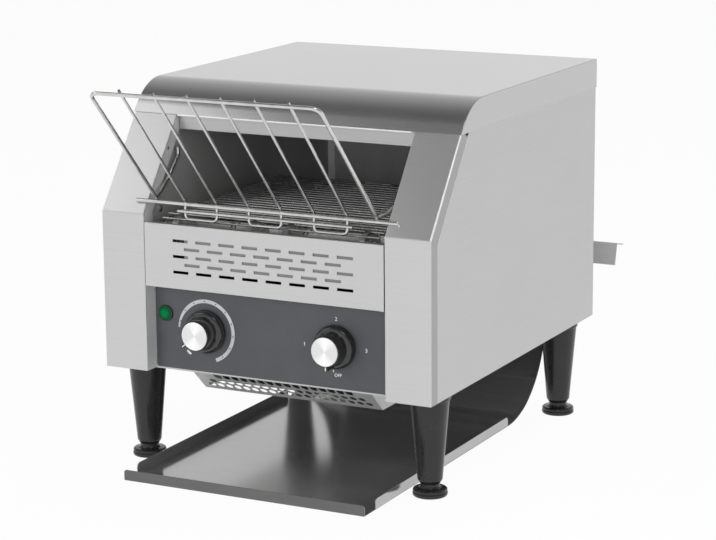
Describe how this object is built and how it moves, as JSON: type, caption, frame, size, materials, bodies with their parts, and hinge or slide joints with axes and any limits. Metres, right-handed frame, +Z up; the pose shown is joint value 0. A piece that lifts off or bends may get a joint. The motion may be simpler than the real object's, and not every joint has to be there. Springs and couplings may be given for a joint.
{
  "type": "conveyor toaster",
  "caption": "Countertop conveyor toaster: a sheet steel cabinet on black legs with a wire belt between heater tubes, a tilted wire bread rack, two knobs and a slide-out curved toast tray.",
  "frame": {"origin": "centre of the box of the whole part in X and Y, on the counter under the feet", "axes": "+X to the right of someone facing the mouth and knobs, +Y from the mouth to the rear panel, +Z up"},
  "size_m": [0.3696, 0.6198, 0.4082],
  "materials": {
    "hood_steel": "polished stainless sheet",
    "body_steel": "brushed stainless sheet",
    "tray_steel": "bright stainless sheet",
    "wire_steel": "bright wire",
    "dull_steel": "plain zinc-plated steel",
    "oven_steel": "heat-stained aluminised sheet",
    "belt_steel": "stainless wire",
    "axle_steel": "turned steel",
    "chain_steel": "oiled steel",
    "bush_bronze": "sintered bronze",
    "quartz": "frosted quartz",
    "ceramic": "glazed ceramic",
    "fascia": "satin dark grey",
    "black_plastic": "moulded black",
    "leg_plastic": "moulded black nylon",
    "knob_plastic": "satin black",
    "knob_metal": "spun disc",
    "lamp_green": "clear green",
    "motor_metal": "cast and plated"
  },
  "bodies": {
    "cabinet": {"top_cover": "hood_steel", "left_side_panel": "body_steel", "right_side_panel": "body_steel", "left_front_post": "body_steel", "right_front_post": "body_steel", "base_plate": "dull_steel", "rear_panel": "body_steel", "cable_inlet": "black_plastic", "perforated_panel": "body_steel", "front_baffle": "dull_steel", "control_panel": "body_steel", "control_fascia": "fascia", "vent_grille": "dull_steel", "lintel": "body_steel", "chamber_left_wall": "oven_steel", "chamber_right_wall": "oven_steel", "chamber_roof": "oven_steel", "chamber_rear_wall": "oven_steel", "chamber_corner_strips": "dull_steel", "heat_shield": "oven_steel", "upper_heater_tubes": "quartz", "lower_heater_tubes": "quartz", "heater_end_caps": "ceramic", "axle_bushings": "bush_bronze", "belt_straight_runs": "belt_steel", "belt_end_turns": "belt_steel", "drive_chain": "chain_steel", "gear_motor": "motor_metal", "fan_frame": "black_plastic", "speed_control": "motor_metal", "mode_switch": "black_plastic", "terminal_block": "ceramic", "lamp_bezel": "black_plastic", "lamp_lens": "lamp_green", "front_left_leg": "leg_plastic", "front_right_leg": "leg_plastic", "rear_left_leg": "leg_plastic", "rear_right_leg": "leg_plastic", "rear_spacer": "body_steel", "cabinet_screws": "axle_steel"},
    "bread_rack": {"bread_rack": "wire_steel"},
    "toast_tray": {"toast_tray": "tray_steel"},
    "rear_axle": {"rear_axle": "axle_steel", "rear_sprockets": "axle_steel", "axle_chain_sprocket": "chain_steel"},
    "front_axle": {"front_axle": "axle_steel", "front_sprockets": "axle_steel"},
    "motor_output": {"motor_shaft": "axle_steel", "motor_chain_sprocket": "chain_steel"},
    "fan_rotor": {"fan_rotor": "black_plastic"},
    "speed_knob": {"speed_knob": "knob_plastic", "speed_knob_disc": "knob_metal", "speed_shaft": "axle_steel"},
    "mode_knob": {"mode_knob": "knob_plastic", "mode_knob_disc": "knob_metal", "mode_shaft": "axle_steel"},
    "front_left_foot": {"front_left_foot": "leg_plastic"},
    "front_right_foot": {"front_right_foot": "leg_plastic"},
    "rear_left_foot": {"rear_left_foot": "leg_plastic"},
    "rear_right_foot": {"rear_right_foot": "leg_plastic"}
  },
  "joints": [
    {"name": "rack_swing", "type": "hinge", "parent": "cabinet", "child": "bread_rack", "pos_m": [0, -0.13549, 0.32273], "axis": [-1, 0, 0], "range_deg": [0, 75]},
    {"name": "tray_slide", "type": "slide", "parent": "cabinet", "child": "toast_tray", "axis": [0, -1, 0], "range_m": [0, 0.27]},
    {"name": "rear_axle_turn", "type": "hinge", "parent": "cabinet", "child": "rear_axle", "pos_m": [0, 0.05825, 0.24165], "axis": [1, 0, 0], "continuous": true, "deforming": ["belt_end_turns", "drive_chain"]},
    {"name": "front_axle_turn", "type": "hinge", "parent": "cabinet", "child": "front_axle", "pos_m": [0, -0.17275, 0.24165], "axis": [1, 0, 0], "continuous": true},
    {"name": "motor_turn", "type": "hinge", "parent": "cabinet", "child": "motor_output", "pos_m": [0, 0.05825, 0.14005], "axis": [1, 0, 0], "continuous": true},
    {"name": "fan_turn", "type": "hinge", "parent": "cabinet", "child": "fan_rotor", "pos_m": [0, -0.13985, 0.115], "axis": [0, 0, 1], "continuous": true},
    {"name": "speed_knob_turn", "type": "hinge", "parent": "cabinet", "child": "speed_knob", "pos_m": [-0.0734, -0.2001, 0.1476], "axis": [0, 1, 0], "range_deg": [0, 270]},
    {"name": "mode_knob_turn", "type": "hinge", "parent": "cabinet", "child": "mode_knob", "pos_m": [0.0734, -0.2001, 0.1476], "axis": [0, 1, 0], "range_deg": [0, 270]},
    {"name": "front_left_foot_screw", "type": "slide", "parent": "cabinet", "child": "front_left_foot", "axis": [0, 0, -1], "range_m": [0, 0.012]},
    {"name": "rear_left_foot_screw", "type": "slide", "parent": "cabinet", "child": "rear_left_foot", "axis": [0, 0, -1], "range_m": [0, 0.012]},
    {"name": "front_right_foot_screw", "type": "slide", "parent": "cabinet", "child": "front_right_foot", "axis": [0, 0, -1], "range_m": [0, 0.012]},
    {"name": "rear_right_foot_screw", "type": "slide", "parent": "cabinet", "child": "rear_right_foot", "axis": [0, 0, -1], "range_m": [0, 0.012]}
  ],
  "couplings": [
    {"joint": "front_axle_turn", "follows": "rear_axle_turn", "ratio": 1},
    {"joint": "motor_turn", "follows": "rear_axle_turn", "ratio": 1}
  ]
}
